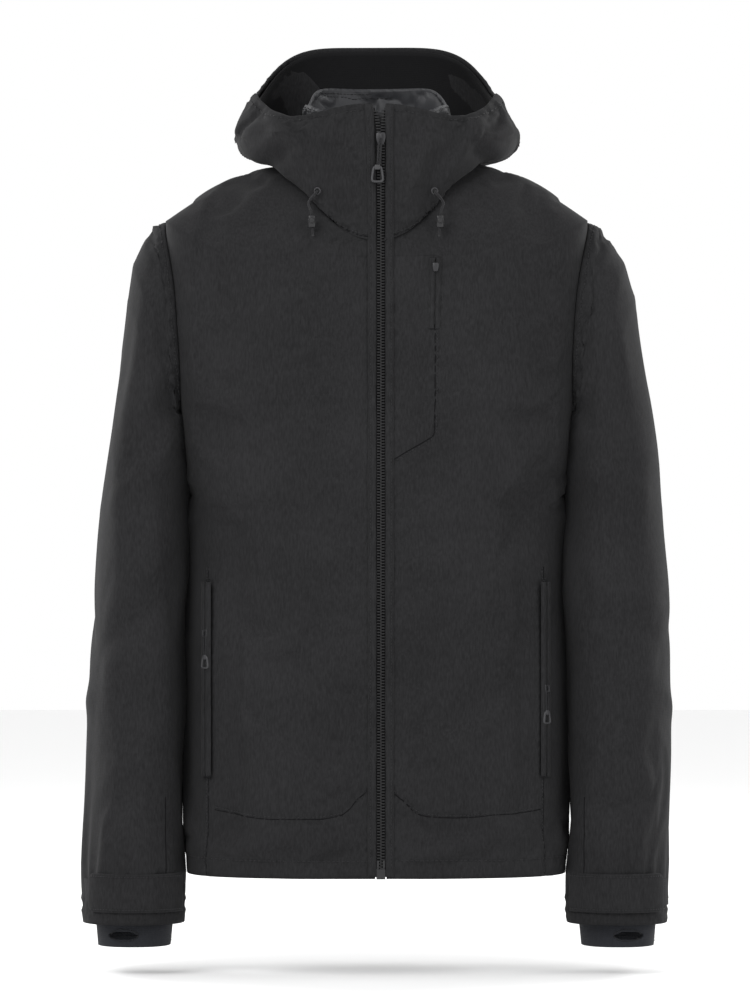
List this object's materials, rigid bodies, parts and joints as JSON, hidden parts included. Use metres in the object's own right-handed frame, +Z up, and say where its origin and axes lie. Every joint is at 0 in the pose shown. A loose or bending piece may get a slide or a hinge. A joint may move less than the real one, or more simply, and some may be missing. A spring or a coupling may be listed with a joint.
{
  "type": "ski jacket",
  "caption": "Hooded ski jacket hung from its neck loop: full-length zip, zipped chest and hand pockets, cord locks on the hood, cuff tabs and stretch cuff gaiters with thumb slits.",
  "frame": {"origin": "the middle of the underside of the hang loop at the back of the neck, where a hook bears", "axes": "+Z up along the length of the jacket, -Y out of its front, +X to the wearer's left"},
  "size_m": [0.6102, 0.2699, 0.951],
  "materials": {
    "shell_fabric": "plain-woven matt black face fabric",
    "lining_fabric": "smooth charcoal taffeta",
    "gaiter_fabric": "knitted stretch fabric",
    "zip_tape": "black woven tape",
    "zip_teeth": "moulded black teeth",
    "slider_metal": "black enamelled die casting",
    "pull_cord": "braided black cord with a moulded end",
    "lock_plastic": "moulded black plastic",
    "hook_and_loop": "hook-and-loop tape",
    "webbing": "woven tape",
    "label_fabric": "blank woven label"
  },
  "bodies": {
    "jacket": {"front_hem_right": "shell_fabric", "front_right": "shell_fabric", "chest_right": "shell_fabric", "side_right": "shell_fabric", "front_hem_left": "shell_fabric", "front_left": "shell_fabric", "chest_left": "shell_fabric", "side_left": "shell_fabric", "back": "shell_fabric", "back_yoke": "shell_fabric", "body_lining": "lining_fabric", "hand_pocket_bag_right": "lining_fabric", "hand_pocket_bag_left": "lining_fabric", "chest_pocket_bag": "lining_fabric", "zip_chain_right": "zip_teeth", "zip_tape_right": "zip_tape", "zip_chain_left": "zip_teeth", "zip_tape_left": "zip_tape", "zip_bottom_box": "lock_plastic", "storm_flap": "lining_fabric", "hand_pocket_right_zip": "zip_tape", "hand_pocket_left_zip": "zip_tape", "chest_pocket_zip": "zip_tape", "hood_front_right": "shell_fabric", "hood_front_left": "shell_fabric", "hood_crown": "shell_fabric", "hood_brim": "shell_fabric", "hood_lining": "lining_fabric", "inner_collar": "lining_fabric", "hang_loop": "webbing", "neck_label": "label_fabric", "hood_eyelet_right": "lock_plastic", "hood_cord_right": "pull_cord", "hood_eyelet_left": "lock_plastic", "hood_cord_left": "pull_cord"},
    "main_slider": {"zip_slider": "slider_metal"},
    "main_pull": {"zip_pull": "pull_cord"},
    "pocket_slider_right": {"hand_pocket_right_slider": "slider_metal"},
    "pocket_pull_right": {"hand_pocket_right_pull": "pull_cord"},
    "pocket_slider_left": {"hand_pocket_left_slider": "slider_metal"},
    "pocket_pull_left": {"hand_pocket_left_pull": "pull_cord"},
    "chest_slider": {"chest_pocket_slider": "slider_metal"},
    "cord_lock_body_right": {"cord_lock_right": "lock_plastic"},
    "lock_button_right": {"cord_lock_button_right": "lock_plastic"},
    "sleeve_body_right": {"sleeve_right": "shell_fabric", "sleeve_lining_right": "lining_fabric", "gaiter_right": "gaiter_fabric", "cuff_loop_right": "hook_and_loop"},
    "tab_body_right": {"cuff_tab_right": "shell_fabric", "cuff_hook_right": "hook_and_loop"},
    "cord_lock_body_left": {"cord_lock_left": "lock_plastic"},
    "lock_button_left": {"cord_lock_button_left": "lock_plastic"},
    "sleeve_body_left": {"sleeve_left": "shell_fabric", "sleeve_lining_left": "lining_fabric", "gaiter_left": "gaiter_fabric", "cuff_loop_left": "hook_and_loop"},
    "tab_body_left": {"cuff_tab_left": "shell_fabric", "cuff_hook_left": "hook_and_loop"}
  },
  "joints": [
    {"name": "main_zip_slide", "type": "slide", "parent": "jacket", "child": "main_slider", "axis": [0, -0.0499, -0.9988], "range_m": [-0.022, 0.742]},
    {"name": "main_pull_swing", "type": "hinge", "parent": "main_slider", "child": "main_pull", "pos_m": [0.005, -0.171, 0.04117], "axis": [-1, 0, 0], "range_deg": [0, 100]},
    {"name": "pocket_zip_slide_right", "type": "slide", "parent": "jacket", "child": "pocket_slider_right", "axis": [0.0023, -0.0359, -0.9994], "range_m": [-0.044, 0.134]},
    {"name": "pocket_pull_swing_right", "type": "hinge", "parent": "pocket_slider_right", "child": "pocket_pull_right", "pos_m": [-0.17679, -0.15706, -0.47001], "axis": [-0.7126, 0.701, -0.0268], "range_deg": [0, 100]},
    {"name": "pocket_zip_slide_left", "type": "slide", "parent": "jacket", "child": "pocket_slider_left", "axis": [-0.0023, -0.0359, -0.9994], "range_m": [-0.101, 0.077]},
    {"name": "pocket_pull_swing_left", "type": "hinge", "parent": "pocket_slider_left", "child": "pocket_pull_left", "pos_m": [0.17666, -0.1591, -0.52697], "axis": [-0.7126, -0.701, 0.0268], "range_deg": [0, 100]},
    {"name": "chest_zip_slide", "type": "slide", "parent": "jacket", "child": "chest_slider", "axis": [-0.0162, -0.0499, -0.9986], "range_m": [0, 0.05]},
    {"name": "cord_lock_slide_right", "type": "slide", "parent": "jacket", "child": "cord_lock_body_right", "axis": [0, 0, -1], "range_m": [0, 0.006]},
    {"name": "lock_button_press_right", "type": "slide", "parent": "cord_lock_body_right", "child": "lock_button_right", "axis": [0, 1, 0], "range_m": [0, 0.0015], "stiffness_N_per_m": 400},
    {"name": "sleeve_raise_right", "type": "hinge", "parent": "jacket", "child": "sleeve_body_right", "pos_m": [-0.2195, -0.076, -0.0355], "axis": [0, 1, 0], "range_deg": [0, 60]},
    {"name": "cuff_tab_open_right", "type": "hinge", "parent": "sleeve_body_right", "child": "tab_body_right", "pos_m": [-0.203, -0.138, -0.737], "axis": [0, 0, 1], "range_deg": [0, 75]},
    {"name": "cord_lock_slide_left", "type": "slide", "parent": "jacket", "child": "cord_lock_body_left", "axis": [0, 0, -1], "range_m": [0, 0.006]},
    {"name": "lock_button_press_left", "type": "slide", "parent": "cord_lock_body_left", "child": "lock_button_left", "axis": [0, 1, 0], "range_m": [0, 0.0015], "stiffness_N_per_m": 400},
    {"name": "sleeve_raise_left", "type": "hinge", "parent": "jacket", "child": "sleeve_body_left", "pos_m": [0.2195, -0.076, -0.0355], "axis": [0, -1, 0], "range_deg": [0, 60]},
    {"name": "cuff_tab_open_left", "type": "hinge", "parent": "sleeve_body_left", "child": "tab_body_left", "pos_m": [0.203, -0.138, -0.737], "axis": [0, 0, -1], "range_deg": [0, 75]}
  ]
}
